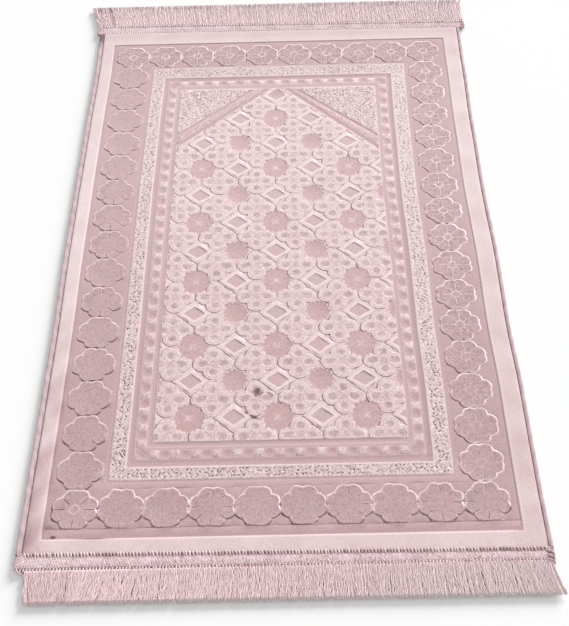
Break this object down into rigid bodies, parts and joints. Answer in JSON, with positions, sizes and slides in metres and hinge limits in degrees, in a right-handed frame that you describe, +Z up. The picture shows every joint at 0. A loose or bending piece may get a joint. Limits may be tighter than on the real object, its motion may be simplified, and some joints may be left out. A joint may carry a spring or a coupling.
{
  "type": "prayer rug",
  "caption": "Flat rectangular prayer rug with carved velvet pile, an arch and flower border, bound sides and a fringe at each end.",
  "frame": {"origin": "on the floor under the middle of the rug's box, fringes included", "axes": "+Z up out of the pile, +Y along the rug towards the arch's point, +X to the right of someone who looks along +Y"},
  "size_m": [0.737, 1.294, 0.0068],
  "materials": {
    "velvet_pile": "dusty rose velvet, carved, with paler smooth and speckled zones",
    "binding_yarn": "overlocked rose yarn",
    "fringe_yarn": "soft pale rose yarn"
  },
  "bodies": {
    "root": {"rug_pile": "velvet_pile", "binding_left": "binding_yarn", "binding_right": "binding_yarn", "fringe_far": "fringe_yarn", "fringe_near": "fringe_yarn"}
  },
  "joints": []
}
